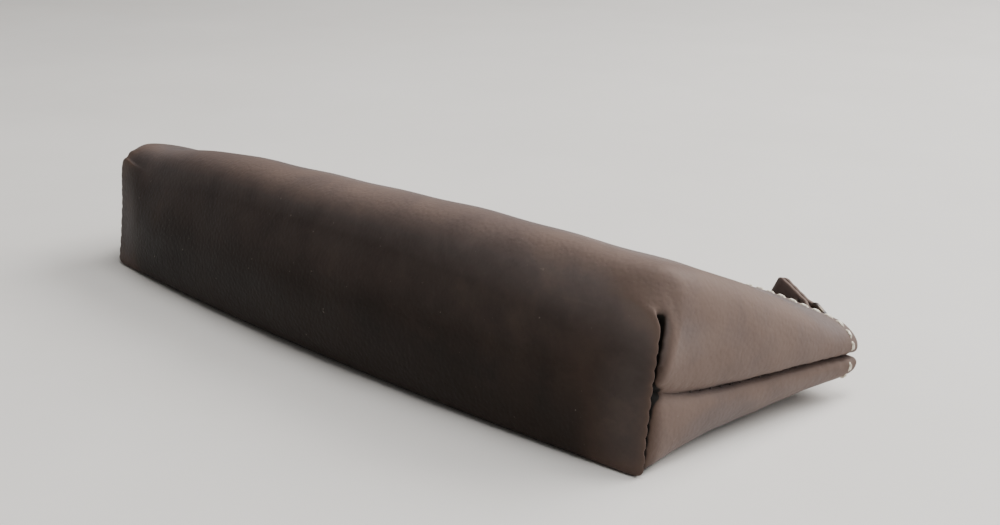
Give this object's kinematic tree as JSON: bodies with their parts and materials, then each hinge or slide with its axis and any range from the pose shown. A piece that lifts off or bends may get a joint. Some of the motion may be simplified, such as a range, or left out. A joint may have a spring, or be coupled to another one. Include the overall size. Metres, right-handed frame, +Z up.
{
  "type": "zipped leather pen case",
  "caption": "Soft leather pen case lying on its side, zipped along one long edge, with boxed ends, a metal zip and a small leather pull.",
  "frame": {"origin": "under the middle of the whole case, on the surface it lies on", "axes": "+X along the case towards the end where the closed slider rests, +Y towards the zip, +Z up"},
  "size_m": [0.2106, 0.076, 0.043],
  "materials": {
    "leather": "matte waxed pull-up leather",
    "zip_tape": "woven tape",
    "zip_metal": "aged brass",
    "cream_thread": "waxed thread",
    "brown_thread": "waxed thread"
  },
  "bodies": {
    "case": {"base_panel": "leather", "lower_side": "leather", "near_end_upper": "leather", "near_end_lower": "leather", "far_end_upper": "leather", "far_end_lower": "leather", "zipper_tape_upper_ends": "zip_tape", "zipper_tape_lower": "zip_tape", "zipper_teeth_upper_ends": "zip_metal", "zipper_teeth_lower": "zip_metal", "top_stops": "zip_metal", "bottom_stop": "zip_metal", "zip_stitch_upper_ends": "cream_thread", "zip_stitch_lower": "cream_thread", "near_cross_seam_thread": "brown_thread", "far_cross_seam_thread": "brown_thread", "near_side_seam_thread": "brown_thread", "far_side_seam_thread": "brown_thread"},
    "opening_side": {"upper_side": "leather", "zipper_tape_upper": "zip_tape", "zipper_teeth_upper": "zip_metal", "zip_stitch_upper": "cream_thread"},
    "slider": {"slider_body": "zip_metal", "slider_bridge": "zip_metal"},
    "puller": {"puller_ring": "zip_metal"},
    "strap": {"leather_pull": "leather", "pull_stitch": "cream_thread"}
  },
  "joints": [
    {"name": "slider_travel", "type": "slide", "parent": "case", "child": "slider", "axis": [-1, 0, 0], "range_m": [0, 0.19], "deforming": ["zipper_teeth_lower", "zipper_teeth_upper_ends"]},
    {"name": "mouth_open", "type": "hinge", "parent": "case", "child": "opening_side", "pos_m": [0, -0.0243, 0.0433], "axis": [1, 0, 0], "range_deg": [0, 25.1], "deforming": ["zipper_tape_upper", "zipper_teeth_upper"]},
    {"name": "puller_swing", "type": "hinge", "parent": "slider", "child": "puller", "pos_m": [0.0971, 0.0342, 0.0115], "axis": [-0.4384, 0, -0.8988], "range_deg": [0, 140]},
    {"name": "strap_swing", "type": "hinge", "parent": "puller", "child": "strap", "pos_m": [0.09102, 0.03601, 0.01446], "axis": [-0.4384, 0, -0.8988], "range_deg": [0, 40]}
  ],
  "couplings": [
    {"joint": "mouth_open", "follows": "slider_travel", "rad_per_m": 2.2964}
  ]
}
